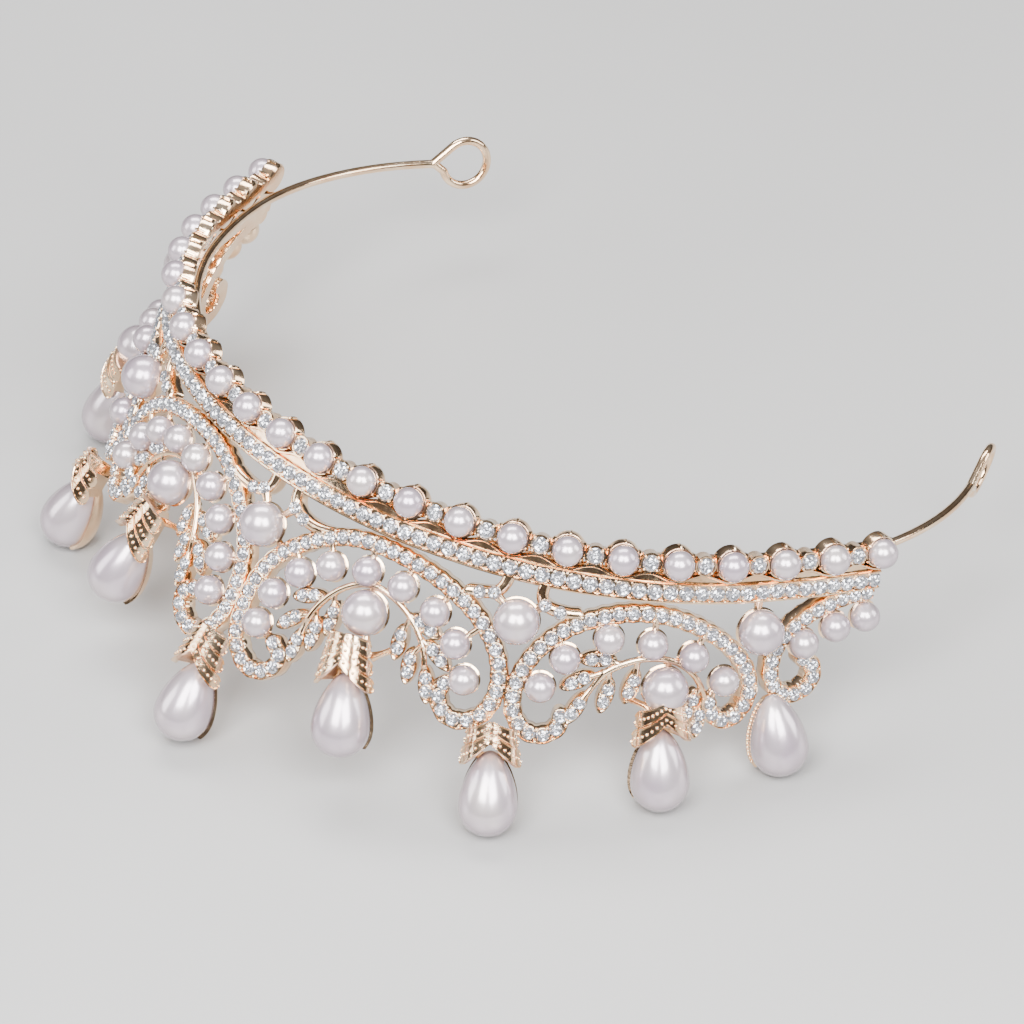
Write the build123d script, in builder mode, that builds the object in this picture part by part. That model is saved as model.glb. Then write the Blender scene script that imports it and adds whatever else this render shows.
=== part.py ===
from build123d import *
import os
from math import acos, atan, cos, degrees, hypot, radians, sin, tan

# A bridal tiara, lying upside down on the tips of its drop pearls, with the head band at the top.
# Every casting is cut from one upright sheet bent round the head. A place on the sheet is given by
# u, the distance round it from the front (left is negative), d, the distance down it from the level
# of the band's front, and off, the distance outwards from the surface that holds the pearl centres.

# Driving dimensions, in millimetres and degrees
SECTION_ARCS = ((72.0, 30.0), (56.0, 40.0), (115.0, 40.0))  # radius and length, front to end
BAND_TILT = 19.9          # the band's plane climbs towards the back by this angle
FRONT_LEAN = 34.2         # lean of the sheet when the tiara rests on its drops
BAND_END = 86.6           # u of the squared ends of the band
SEAM = 62.2               # u of the seams between the front and rear galleries

METAL_INNER = -2.6        # inner face of all castings
STRIP_FACE = -0.4         # outer face of the scroll strips
SPRAY_FACE = 0.0          # outer face of stems and leaves
CLEARANCE = 0.02          # set pearls and stones from their seats

SHEET_ABOVE = 30.0        # the sheet reaches this far above and below the band's front
SHEET_BELOW = 60.0
CAST_REACH = 32.0         # a casting reaches at most this far round from its middle
BOARD_DEPTH = 40.0        # flat outlines are cut through this depth before the sheet trims them
ROOM = 240.0              # side of cutters that take in the whole tiara

PEARL_PITCH = 7.7         # along the band
BAND_PEARLS = 24
BAND_PEARL_RADIUS = 2.1
SMALL_PEARL_RADIUS = 2.1
LARGE_PEARL_RADIUS = 3.2
LARGE_PEARL_OFF = 0.9

GALLERY_TOP = -0.9        # edges of the band, measured down from the pearl row
CHANNEL_TOP = 2.9
CHANNEL_BOTTOM = 5.6
CHANNEL_WALL = 0.3
CHANNEL_FACE = -0.2
GALLERY_FACE = -1.7
GROOVE_FLOOR = -1.1
PEARL_CUP_RADIUS = 2.45
PEARL_CUP_FACE = -0.9
STONE_CUP_RADIUS = 1.4
STONE_CUP_FACE = -0.5

STONE_RADIUS = 0.95
STONE_DEPTH = 0.8
STONE_CROWN = 0.35
STONE_SINK = 0.5
SEAT_ROOM = 3.0           # height of the cutters for stone seats
STONE_PITCH = 2.0
CHANNEL_STONE_PITCH = 2.2
CHANNEL_STONES = 81
CUP_STONE_RADIUS = 1.15

COARSE_STEP = 2.5         # spacing of places along a strip's centre line, when it is drawn
FINE_STEP = 0.5           # and when it is searched
STRIP_WIDTH = 2.4
ARM_WIDTH = 1.2
STEM_WIDTH = 1.0
DISH_RADIUS = 1.5
LARGE_DISH_RADIUS = 2.2
LEAF_LENGTH = 5.4
LEAF_WIDTH = 2.3
LEAF_ROOT = 0.9           # where a leaf's twig meets it
LEAF_STONES = (1.7, 3.6)  # reach of a leaf's two stones from its base
BAR_WIDTH = 2.0

DROP_RADIUS = 4.1
DROP_LENGTH = 12.0
DROP_OFF = 1.0
CAP_HEIGHTS = {2: 4.2, 3: 5.4}  # by the number of chevrons on the cap
CAP_TOP_RADIUS = 2.8
CUP_WALL = 0.5
WINDOW_BACK = -2.0        # the back cup is open to the front as far as this
CAP_BACK = -1.3           # the cap's flat back, which lies on the scroll strips
CAP_BACK_EDGE = 0.8       # and how far above the drop it starts
CAP_PEAK = 1.2            # the open front is a tall gable under the cap: its peak and its feet
CAP_SIDE = 4.2
CAP_FOOT = -4.0
CUP_LENGTH = 10.4         # the back cup stops short of the drop's tip
CUP_ROOM = 20.0           # side of the cutters that open it

WIRE_RADIUS = 0.65
WIRE_DROP = 2.0           # the head wire runs this far below the pearl row
WIRE_CONTACTS = (0.0, 22.0, 44.0, 60.0, 76.0)  # u where the wire lies against the castings
EYE_NECK = (55.0, 80.5)   # where the wire ends and its eye begins, in the wire's plane
EYE_AXIS = 114.0          # direction of the eye from its neck, in the same plane
EYE_TWIST = 97.0          # turn of the eye about its axis, out of the wire's plane
EYE_REACH = 5.4           # from the neck to the middle of the eye
EYE_RADIUS = 3.6
EYE_GAP = 20.0            # the round of the eye stops this angle short of its axis

# Centre lines of the scroll strips on the sheet, right side, as (u, d)
ARCH_A = [(7.1, 25.8), (10.1, 28.2), (7.4, 31.0), (2.9, 29.4), (1.25, 24.0), (2.4, 17.1), (7.3, 11.1),
          (13.2, 7.5), (21.0, 6.3), (29.2, 7.2), (36.5, 10.6), (40.5, 16.5), (39.3, 22.6), (35.6, 23.7),
          (33.4, 20.8), (34.4, 18.8)]
ARCH_B = [(49.4, 16.8), (50.6, 18.8), (48.4, 21.3), (45.0, 20.6), (43.1, 17.5), (43.0, 12.6),
          (45.2, 7.3), (49.6, 2.9), (55.4, 0.0), (62.4, -0.7), (68.5, 0.6), (73.0, 3.2), (75.2, 7.2),
          (73.6, 11.1), (70.6, 10.6), (69.5, 8.1)]
END_SCROLL = [(80.2, 0.4), (82.8, 0.2), (84.3, 2.6), (82.4, 5.2), (79.0, 5.0), (76.9, 2.4),
              (76.6, -1.6), (78.7, -5.7), (82.3, -9.0), (85.8, -11.0), (88.2, -11.6)]

# Small pearls under each arch, right side, from the front to the back
ARCH_A_PEARLS = [(4.9, 24.8), (5.5, 19.9), (8.2, 15.4), (12.3, 12.3), (17.6, 10.4), (23.2, 10.0),
                 (28.7, 11.1), (33.0, 13.9), (36.0, 18.0)]
ARCH_B_PEARLS = [(46.0, 14.7), (47.6, 9.7), (52.1, 4.9), (58.1, 3.6), (64.4, 3.5), (70.2, 5.6)]
END_PEARLS = [(79.9, -2.4), (83.8, -5.8), (88.0, -8.2)]

# Large pearls, right side and centre
LARGE_PEARLS = {"centre": (0.0, 12.1), "a": (19.9, 15.5), "j1": (39.5, 7.2), "b": (62.0, 8.8),
                "j2": (71.9, -2.8)}

# Drops as (u and d of the top, tilt towards the back, kick outwards, chevrons on the cap)
DROPS = {"centre": (0.0, 33.5, 0.0, 0.0, 3), "a": (21.0, 24.0, 16.5, 0.0, 3),
         "j1": (43.2, 25.2, 19.5, 4.0, 2), "b": (63.4, 14.2, 23.3, 4.0, 2),
         "j2": (77.6, 5.5, 31.0, 9.0, 0)}

# Leaves as (base u, base d, angle clockwise from straight down), right side
STEM_A = [(12.0, 20.4), (14.2, 15.4), (18.9, 11.9), (24.2, 12.6), (28.9, 16.3), (30.2, 18.6)]
STEM_B = [(53.4, 9.7), (56.7, 6.6), (61.8, 5.0), (66.5, 6.6), (68.6, 8.8)]
LEAVES_A = [(25.6, 12.9, -75), (28.9, 15.3, -62), (25.2, 14.6, -8), (27.6, 17.0, -12), (30.3, 18.6, -25),
            (13.0, 16.4, 62), (11.2, 19.8, 40), (15.0, 16.2, -4), (13.5, 19.4, -2), (11.6, 22.2, 0)]
LEAVES_B = [(54.4, 7.2, 68), (52.4, 10.2, 46), (54.8, 10.0, -3), (57.8, 7.6, 0), (52.3, 13.2, 12),
            (67.0, 7.8, 0), (68.6, 9.6, -12)]

# Short arms inside the sprays and the brackets' bars and strut, right side
SPRAY_ARMS_A = [((19.9, 15.5), (19.2, 12.0)), ((19.9, 15.5), (21.1, 19.6)), ((15.2, 20.5), (20.0, 21.4)),
                ((22.8, 21.0), (25.6, 18.4))]
SPRAY_ARMS_B = [((62.0, 8.8), (61.4, 5.2)), ((62.0, 8.8), (62.0, 12.0)), ((57.8, 12.0), (61.6, 12.4)),
                ((64.2, 12.6), (67.0, 11.4))]
CENTRE_BAR = [(2.4, 4.6), (3.1, 8.0), (5.1, 8.8), (7.5, 8.9), (10.6, 8.2)]
SIDE_BARS = [[(36.0, 1.6), (35.1, 5.1), (33.2, 5.9), (31.0, 6.6)],
             [(41.2, 0.6), (42.2, 3.9), (44.5, 4.1), (47.6, 3.2)]]
REAR_STRUT = (70.2, -7.6)


def section(u):
    """Point and heading of the sheet's section, u millimetres round it from the front."""
    x = y = heading = 0.0
    left = abs(u)
    for radius, length in SECTION_ARCS:
        step = min(left, length) / radius
        x += radius * (sin(heading + step) - sin(heading))
        y += radius * (cos(heading) - cos(heading + step))
        heading += step
        left -= min(left, length)
    side = 1 if u >= 0 else -1
    return side * x, y, side * heading


def point(u, d, off=0.0):
    """A place on the sheet as a vector."""
    x, y, heading = section(u)
    return Vector(x + off * sin(heading), y - off * cos(heading), -d)


def band_slope(u):
    """Angle, in degrees, that the band climbs at u, seen square to the sheet."""
    return degrees(atan(tan(radians(BAND_TILT)) * sin(section(u)[2])))


def facing(u, d, off=0.0, turn=0.0):
    """Plane touching the sheet at a place, facing outwards, turned anticlockwise by turn degrees."""
    heading = section(u)[2]
    across = Vector(cos(heading) * cos(radians(turn)), sin(heading) * cos(radians(turn)),
                    sin(radians(turn)))
    return Plane(origin=point(u, d, off), x_dir=across, z_dir=Vector(sin(heading), -cos(heading), 0))


def band_places(count, pitch):
    """Sheet places of items spaced evenly along the pearl row, about the front."""
    rise = tan(radians(BAND_TILT))
    step = 0.05
    places = []
    for index in range(count):
        target = abs((index - (count - 1) / 2) * pitch)
        u = run = 0.0
        while run < target:
            run += step * hypot(1, rise * sin(section(u)[2]))
            u += step
        side = 1 if index > (count - 1) / 2 else -1
        places.append((side * u, -rise * section(u)[1]))
    return places


def below(place, h):
    """The place h millimetres below a band place, square to the pearl row."""
    slope = radians(band_slope(place[0]))
    return place[0] + h * sin(slope), place[1] + h * cos(slope)


def sheet(inner, outer, start, end):
    """The bent sheet between two distances outwards, from u start to u end."""
    breaks = [start]
    for bound in (-70.0, -30.0, 30.0, 70.0):
        if start < bound < end:
            breaks.append(bound)
    breaks.append(end)
    with BuildPart() as shell:
        with BuildSketch(Plane.XY.offset(SHEET_ABOVE)):
            with BuildLine():
                for face in (outer, inner):
                    for low, high in zip(breaks, breaks[1:]):
                        ends = [point(u, 0, face) for u in (low, (low + high) / 2, high)]
                        ThreePointArc(*[(p.X, p.Y) for p in ends])
                for u in (start, end):
                    near, far = point(u, 0, inner), point(u, 0, outer)
                    Line((near.X, near.Y), (far.X, far.Y))
            make_face()
        extrude(amount=-SHEET_ABOVE - SHEET_BELOW)
    return shell.part


BAND_PLANE = Plane(origin=(0, 0, 0), x_dir=(1, 0, 0),
                   z_dir=(0, -sin(radians(BAND_TILT)), cos(radians(BAND_TILT))))


def band_slab(top, bottom):
    """Everything between two distances below the pearl row's plane."""
    with BuildPart() as slab:
        with BuildSketch(BAND_PLANE.offset(-top)):
            Rectangle(ROOM, ROOM)
        extrude(amount=-(bottom - top))
    return slab.part


def disc(place, radius, low, high):
    """Round boss standing square to the sheet between two distances outwards."""
    with BuildPart() as boss:
        with BuildSketch(facing(*place, off=low)):
            Circle(radius)
        extrude(amount=high - low)
    return boss.part


def crystal(radius):
    """A round stone with a flat table, standing on the origin."""
    with BuildPart() as cut:
        with BuildSketch(Plane.XZ):
            Polygon((0, 0), (radius, 0), (radius, STONE_DEPTH - STONE_CROWN),
                    (0.6 * radius, STONE_DEPTH), (0, STONE_DEPTH), align=None)
        revolve(axis=Axis.Z)
    return cut.part


def group(shape, planes):
    """Copies of one shape, one on each plane, as separate solids."""
    with BuildPart() as copies:
        with Locations(*planes):
            add(shape)
    return copies.part


def along(path, pitch, inset):
    """Places spaced evenly along a centre line, with its ends left free by the inset."""
    with BuildLine():
        curve = Spline(*path)
    length = curve.length
    count = round((length - 2 * inset) / pitch) + 1
    places = []
    for index in range(count):
        spot = curve.position_at((inset + index * (length - 2 * inset) / (count - 1)) / length)
        places.append((spot.X, spot.Y))
    return places


def nearest(path, place):
    """The place on a centre line that is nearest to another place."""
    return min(along(path, FINE_STEP, 0), key=lambda spot: hypot(spot[0] - place[0], spot[1] - place[1]))


def casting(middle, strips=(), arms=(), discs=(), leaves=(), face=STRIP_FACE):
    """A casting cut from the sheet: strips (path, width), straight arms, round discs and leaves."""
    board = facing(middle, 0, BOARD_DEPTH / 2)

    def flat(place):
        spot = board.to_local_coords(point(*place))
        return spot.X, spot.Y

    with BuildPart() as cast:
        with BuildSketch(board):
            for path, width in strips:
                with BuildLine():
                    Spline(*[flat(place) for place in along(path, COARSE_STEP, 0)])
                trace(line_width=width)
            for start, end in arms:
                with BuildLine():
                    Line(flat(start), flat(end))
                trace(line_width=ARM_WIDTH)
            for place, radius in discs:
                with Locations(flat(place)):
                    Circle(radius)
            for u, d, turn in leaves:
                tip = leaf_place(u, d, turn, LEAF_LENGTH)
                with BuildLine():
                    for side in (-1, 1):
                        bulge = leaf_place(u, d, turn, LEAF_LENGTH / 2, side * LEAF_WIDTH / 2)
                        ThreePointArc(flat((u, d)), flat(bulge), flat(tip))
                make_face()
        extrude(amount=-BOARD_DEPTH)
        add(sheet(METAL_INNER, face, middle - CAST_REACH, middle + CAST_REACH), mode=Mode.INTERSECT)
    return cast.part


def leaf_place(u, d, turn, reach, aside=0.0):
    """A place reached from a leaf's base; the turn is clockwise from straight down."""
    angle = radians(turn)
    return u - reach * sin(angle) + aside * cos(angle), d + reach * cos(angle) + aside * sin(angle)


def without(part, *cutters):
    """A part with the room of other pieces cut from it, and any chip that comes loose dropped."""
    with BuildPart() as cut:
        add(part)
        for cutter in cutters:
            add(cutter, mode=Mode.SUBTRACT)
        solids = cut.part.solids().sort_by(SortBy.VOLUME)
        if len(solids) > 1:
            add(solids[-1], mode=Mode.REPLACE)
    return cut.part


def drop_profile(margin, top):
    """Half outline of a drop standing on the origin by its apex, grown by a margin."""
    radius = DROP_RADIUS + margin
    widest = (radius, DROP_RADIUS - DROP_LENGTH)
    with BuildLine() as outline:
        if top:
            Polyline((0, top), (CAP_TOP_RADIUS, top))
            Bezier((CAP_TOP_RADIUS, top), (0.9 * radius, 0.2 * top), (radius, -3), widest)
        else:
            Bezier((0, margin), (0.4 * radius, margin), (radius, -4.4), widest)
        CenterArc((0, widest[1]), radius, 0, -90)
        Line((0, widest[1] - radius), (0, top or margin))
    return outline.line


def turned(outline):
    """The solid of revolution of a half outline about its upright axis."""
    with BuildPart() as solid:
        with BuildSketch(Plane.XY):
            add(outline)
            make_face()
        revolve(axis=Axis.Y)
    return solid.part


def setting(top):
    """Back cup of a drop, open to the front, with a tall chevron cap if top is given."""
    with BuildPart() as cup:
        add(turned(drop_profile(CUP_WALL, top)))
        add(turned(drop_profile(CLEARANCE, 0)), mode=Mode.SUBTRACT)
        with BuildSketch(Plane.XY.offset(WINDOW_BACK)):
            Polygon((0, CAP_PEAK), (CAP_SIDE, CAP_FOOT), (CUP_ROOM, CAP_FOOT), (CUP_ROOM, -CUP_ROOM),
                    (-CUP_ROOM, -CUP_ROOM), (-CUP_ROOM, CAP_FOOT), (-CAP_SIDE, CAP_FOOT), align=None)
        extrude(amount=CUP_ROOM, mode=Mode.SUBTRACT)
        with Locations((0, -CUP_LENGTH, 0)):
            Box(CUP_ROOM, CUP_ROOM, CUP_ROOM, align=(Align.CENTER, Align.MAX, Align.CENTER),
                mode=Mode.SUBTRACT)
        if top:
            with Locations((0, top / 2 + CAP_BACK_EDGE, CAP_BACK)):
                Box(CUP_ROOM, top, CUP_ROOM, align=(Align.CENTER, Align.CENTER, Align.MAX),
                    mode=Mode.SUBTRACT)
    return cup.part


def hang(shape, station):
    """A drop or its setting at its station on the right side, or at the front."""
    u, d, tilt, kick, _ = DROPS[station]
    return facing(u, d, DROP_OFF, tilt).location * Rotation(-kick, 0, 0) * shape


pieces = {}

# The galleries of the band: a plain strip with pearl and stone cups above a stone channel
pearl_places = band_places(BAND_PEARLS, PEARL_PITCH)
cup_places = band_places(BAND_PEARLS - 1, PEARL_PITCH)
channel_places = [below(place, (CHANNEL_TOP + CHANNEL_BOTTOM) / 2)
                  for place in band_places(CHANNEL_STONES, CHANNEL_STONE_PITCH)]
galleries = {"rear_gallery_left": (-BAND_END, -SEAM), "front_gallery": (-SEAM, SEAM),
             "rear_gallery_right": (SEAM, BAND_END)}
for name, (start, end) in galleries.items():
    with BuildPart() as strip:
        add(sheet(METAL_INNER, GALLERY_FACE, start, end))
        add(band_slab(GALLERY_TOP, CHANNEL_BOTTOM), mode=Mode.INTERSECT)
    with BuildPart() as rail:
        add(sheet(METAL_INNER, CHANNEL_FACE, start, end))
        add(band_slab(CHANNEL_TOP, CHANNEL_BOTTOM), mode=Mode.INTERSECT)
    with BuildPart() as groove:
        add(sheet(GROOVE_FLOOR, CHANNEL_FACE + 1, start, end))
        add(band_slab(CHANNEL_TOP + CHANNEL_WALL, CHANNEL_BOTTOM - CHANNEL_WALL), mode=Mode.INTERSECT)
    with BuildPart() as gallery:
        add(strip.part)
        add(rail.part)
        add(groove.part, mode=Mode.SUBTRACT)
        for place in pearl_places:
            if start < place[0] < end:
                add(disc(place, PEARL_CUP_RADIUS, METAL_INNER, PEARL_CUP_FACE))
        for place in cup_places:
            if start < place[0] < end:
                add(disc(place, STONE_CUP_RADIUS, METAL_INNER, STONE_CUP_FACE))
        with Locations(*[facing(*place) for place in pearl_places if start < place[0] < end]):
            Sphere(BAND_PEARL_RADIUS + CLEARANCE, mode=Mode.SUBTRACT)
    pieces[name] = gallery.part

pieces["band_pearls"] = group(Solid.make_sphere(BAND_PEARL_RADIUS, angle1=-90),
                              [facing(*place) for place in pearl_places])
pieces["band_cup_stones"] = group(crystal(CUP_STONE_RADIUS),
                                  [facing(*place, STONE_CUP_FACE) for place in cup_places])
pieces["channel_stones"] = group(crystal(STONE_RADIUS),
                                 [facing(*place, GROOVE_FLOOR) for place in channel_places])


def rod(*edges):
    """Round wire swept along edges that run smoothly into each other."""
    with BuildPart() as wire:
        with BuildLine() as route:
            for edge in edges:
                add(edge)
        start = route.wires()[0]
        with BuildSketch(Plane(origin=start @ 0, z_dir=start % 0)):
            Circle(WIRE_RADIUS)
        sweep(path=start)
    return wire.part


def wire_eye():
    """A hair-grip eye drawn flat, with its neck at the origin and its axis along +X."""
    open_angle = degrees(acos(EYE_RADIUS / EYE_REACH))
    with BuildLine() as bow:
        round_part = CenterArc((EYE_REACH, 0), EYE_RADIUS, 180 - open_angle,
                               open_angle + EYE_GAP - 360)
        Line((0, 0), round_part @ 0)
    end = round_part @ 1
    with BuildPart() as eye:
        add(rod(*bow.edges()))
        add(rod(Edge.make_line(end, (0, 0))))
        with Locations((0, 0), (end.X, end.Y)):
            Sphere(WIRE_RADIUS)
    return eye.part


# The head wire inside the band, with an eye at each end for hair grips, drawn in its own plane
wire_off = METAL_INNER - WIRE_RADIUS - CLEARANCE
contacts = [point(u, 0, wire_off) for u in WIRE_CONTACTS]
spots = [(spot.X, spot.Y / cos(radians(BAND_TILT))) for spot in contacts] + [EYE_NECK]
bends = []
heading = (1, 0)
for last, spot in zip(spots, spots[1:]):
    bends.append(Edge.make_tangent_arc(last, heading, spot))
    heading = bends[-1] % 1
axis = Vector(cos(radians(EYE_AXIS)), sin(radians(EYE_AXIS)), 0)
facing_eye = Vector(0, 0, 1).rotate(Axis((0, 0, 0), axis), EYE_TWIST)
eye_plane = Plane(origin=EYE_NECK, x_dir=axis, z_dir=facing_eye)
with BuildPart() as head_wire:
    add(rod(*bends))
    add(eye_plane.location * wire_eye())
    mirror(about=Plane.YZ)
pieces["head_wire"] = BAND_PLANE.offset(-WIRE_DROP).location * head_wire.part


def balls(places, radius, off=0.0):
    """Round pearls at several places."""
    return group(Solid.make_sphere(radius, angle1=-90), [facing(*place, off=off) for place in places])


def seats(places, face):
    """Cutters for the seats of stones set into a face."""
    tool = Solid.make_cylinder(STONE_RADIUS, SEAT_ROOM)
    return group(tool, [facing(*place, off=face - STONE_SINK) for place in places])


def stones(places, face):
    """Stones in seats sunk into a face."""
    return group(crystal(STONE_RADIUS - CLEARANCE),
                 [facing(*place, off=face - STONE_SINK) for place in places])


def leaf_stones(leaves):
    """Places of the two stones on each leaf."""
    return [leaf_place(u, d, turn, reach) for u, d, turn in leaves for reach in LEAF_STONES]


def mirrored(path):
    """The same places on the left side."""
    return [(-u, d) for u, d in path]


def both(path):
    """Places on the right side and the same ones on the left."""
    return list(path) + mirrored(path)


# Large round pearls
large_places = list(LARGE_PEARLS.values())
pieces["large_pearls"] = balls(large_places + mirrored(large_places[1:]), LARGE_PEARL_RADIUS,
                               LARGE_PEARL_OFF)
large_seats = balls(large_places, LARGE_PEARL_RADIUS + CLEARANCE, LARGE_PEARL_OFF)

# Teardrop pearls and their settings, hung at nine stations
drop = turned(drop_profile(0, 0))
settings = {chevrons: setting(height) for chevrons, height in CAP_HEIGHTS.items()}
settings[0] = setting(0)
for station, place in DROPS.items():
    holder = without(hang(settings[place[-1]], station), large_seats)
    for kind, shape in (("setting", holder), ("pearl", hang(drop, station))):
        if station == "centre":
            pieces[f"drop_{kind}_centre"] = shape
        else:
            pieces[f"drop_{kind}_{station}_right"] = shape
            pieces[f"drop_{kind}_{station}_left"] = mirror(shape, about=Plane.YZ)
rear_drop = [pieces["drop_setting_j2_right"], pieces["drop_pearl_j2_right"]]

# Scroll castings with their small pearls and pavé stones
band_room = band_slab(-SHEET_ABOVE, CHANNEL_BOTTOM)
left_half = Solid.make_box(ROOM, ROOM, ROOM, Plane((-ROOM, -ROOM / 2, -ROOM / 2)))
scrolls = {"large_arch": (ARCH_A, ARCH_A_PEARLS, 20), "small_arch": (ARCH_B, ARCH_B_PEARLS, 58),
           "end_scroll": (END_SCROLL, END_PEARLS, 81)}
done = []
for name, (path, pearls, middle) in scrolls.items():
    arms = [(place, nearest(path, place)) for place in pearls]
    spots = along(path, STONE_PITCH, STRIP_WIDTH / 2)
    scroll = casting(middle, [(path, STRIP_WIDTH)], arms, [(place, DISH_RADIUS) for place in pearls])
    scroll = without(scroll, band_room, left_half, balls(pearls, SMALL_PEARL_RADIUS + CLEARANCE),
                     seats(spots, STRIP_FACE), large_seats, *done[-1:])
    if name != "large_arch":
        scroll = without(scroll, *rear_drop)
    done.append(scroll)
    pieces[f"{name}_right"] = scroll
    pieces[f"{name}_left"] = mirror(scroll, about=Plane.YZ)
    pieces[f"{name}_pearls"] = balls(both(pearls), SMALL_PEARL_RADIUS)
    pieces[f"{name}_stones"] = stones(both(spots), STRIP_FACE)

# Leaf sprays: a stem arched over a large pearl, with two-stone leaves
sprays = {"large_spray": (STEM_A, LEAVES_A, "a", SPRAY_ARMS_A, ARCH_A_PEARLS, 21, "large_arch"),
          "small_spray": (STEM_B, LEAVES_B, "b", SPRAY_ARMS_B, ARCH_B_PEARLS, 61, "small_arch")}
for name, (stem, leaves, station, arms, pearls, middle, arch) in sprays.items():
    spots = leaf_stones(leaves)
    roots = [leaf_place(u, d, turn, LEAF_ROOT) for u, d, turn in leaves]
    arms = arms + [(root, nearest(stem, root)) for root in roots]
    spray = casting(middle, [(stem, STEM_WIDTH)], arms, [(LARGE_PEARLS[station], LARGE_DISH_RADIUS)],
                    leaves, SPRAY_FACE)
    spray = without(spray, balls(pearls, SMALL_PEARL_RADIUS + CLEARANCE), large_seats,
                    pieces[f"drop_setting_{station}_right"], pieces[f"{arch}_right"])
    pieces[f"{name}_right"] = spray
    pieces[f"{name}_left"] = mirror(spray, about=Plane.YZ)
    pieces[f"{name}_stones"] = stones(both(spots), SPRAY_FACE + STONE_SINK)

# Brackets that carry the scrollwork and the large pearls from the band
centre_bars = [CENTRE_BAR, mirrored(CENTRE_BAR)]
centre_arms = [(bar[1], LARGE_PEARLS["centre"]) for bar in centre_bars]
brackets = {"centre_bracket": (0, centre_bars, centre_arms, "centre"),
            "side_bracket": (40, SIDE_BARS, [(bar[1], LARGE_PEARLS["j1"]) for bar in SIDE_BARS], "j1"),
            "rear_strut": (71, [], [(REAR_STRUT, LARGE_PEARLS["j2"])], "j2")}
bracket_spots = []
twins = [mirror(part, about=Plane.YZ) for part in done[:1]]
for name, (middle, bars, arms, station) in brackets.items():
    spots = [bar[index] for bar in bars for index in (1, 2)]
    bracket = casting(middle, [(bar, BAR_WIDTH) for bar in bars], arms,
                      [(LARGE_PEARLS[station], LARGE_DISH_RADIUS)])
    bracket = without(bracket, band_room, large_seats, *done, *twins)
    bracket_spots += spots
    if name == "centre_bracket":
        pieces[name] = bracket
    else:
        pieces[f"{name}_right"] = bracket
        pieces[f"{name}_left"] = mirror(bracket, about=Plane.YZ)
bracket_spots += mirrored(spot for bar in SIDE_BARS for spot in bar[1:3])
pieces["bracket_stones"] = stones(bracket_spots, STRIP_FACE + STONE_SINK)

# Lean everything back onto the drop tips and put the origin under the middle
lean = Rotation(-FRONT_LEAN, 0, 0)
resting = {name: lean * part for name, part in pieces.items()}
boxes = [part.bounding_box() for part in resting.values()]
middle = (min(box.min.Y for box in boxes) + max(box.max.Y for box in boxes)) / 2
lift = -min(box.min.Z for box in boxes)
shift = Pos(0, -middle, lift)
print("front of the pearl row at", shift.position)
os.makedirs("parts", exist_ok=True)
for name, part in resting.items():
    placed = shift * part
    placed.label = name
    export_step(placed, f"parts/{name}.step")
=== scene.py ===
import math
import bpy
import mathutils
import numpy as np
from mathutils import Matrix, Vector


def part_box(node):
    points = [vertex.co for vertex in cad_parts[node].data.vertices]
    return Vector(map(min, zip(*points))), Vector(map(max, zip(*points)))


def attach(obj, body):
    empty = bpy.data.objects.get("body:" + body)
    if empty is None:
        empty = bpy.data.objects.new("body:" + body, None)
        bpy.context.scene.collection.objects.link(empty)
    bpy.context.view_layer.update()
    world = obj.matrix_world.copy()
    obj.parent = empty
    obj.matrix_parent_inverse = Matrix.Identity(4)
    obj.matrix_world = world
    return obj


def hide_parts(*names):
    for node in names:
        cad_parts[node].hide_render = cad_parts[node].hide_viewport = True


# A bridal tiara of polished castings, pearls and crystals, lying upside down on its drop tips.
# Places are given as on the bent sheet that the castings are cut from: u is the distance round it
# from the front, d the distance down it from the level of the band's front, and off the distance
# outwards from the surface that holds the pearl centres. Lengths are millimetres until a mesh is
# made, and metres in the scene.

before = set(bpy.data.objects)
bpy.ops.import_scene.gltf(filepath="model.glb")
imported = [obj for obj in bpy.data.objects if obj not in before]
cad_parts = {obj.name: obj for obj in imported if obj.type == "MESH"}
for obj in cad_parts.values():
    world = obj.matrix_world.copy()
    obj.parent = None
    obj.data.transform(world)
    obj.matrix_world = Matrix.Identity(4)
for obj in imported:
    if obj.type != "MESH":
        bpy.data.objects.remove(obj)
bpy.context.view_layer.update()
random = np.random.default_rng(7)
MM = 0.001

# Driving dimensions
SECTION_ARCS = ((72.0, 30.0), (56.0, 40.0), (115.0, 40.0))  # radius and length, front to end
BAND_RISE = math.tan(math.radians(19.9))
LEAN = math.radians(34.2)
METAL_INNER = -2.6
STRIP_FACE = -0.4
PEARL_PITCH = 7.7
BAND_PEARLS = 24
SMALL_PEARL = 2.12
LARGE_PEARL = 3.2
LARGE_OFF = 0.9
STRIP_HALF = 1.25
STONE_PITCH = 2.0
STONE_RADIUS = 0.97
STRIP_GROOVE = 0.25       # depth of a strip's floor below its raised edges
STRIP_INSET = 1.2         # from a strip's end to its first stone
PRONG_ACROSS = 0.86       # from a strip's centre line to its prong beads
PRONG_RADIUS = 0.26
LEAF_STONE = 0.92
BAR_STONE = 0.95
BAR_HALF = 0.85
STRUT_RADIUS = 0.7
BAND_REACH = 88.9         # length of the band each side of the front, along the pearl row
BAND_PEARL = 2.12
FRAME_PEARL = 2.1         # radius of the band pearls in the frame, just inside these
DROP_RADIUS = 4.1
DROP_LENGTH = 12.0
DROP_OFF = 1.0
CAP_BACK = -1.5           # flat back of the caps' bodies
CUP_LENGTH = 10.4
CUP_OPENING = 2.05        # half angle that a back cup leaves open to the front, in radians
CUP_WALL = 0.45
PEARL_CUP_WALL = 0.3
LARGE_CUP_RIM = -1.4      # rim of a large pearl's cup, behind the pearl's middle
WIRE_RADIUS = 0.65
WIRE_DROP = 2.0
WIRE_LEAVES = 76.0        # u where the wire leaves the inside of the band
EYE_NECK = (55.0, 80.5)
EYE_AXIS = math.radians(114.0)
EYE_TWIST = math.radians(97.0)
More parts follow.
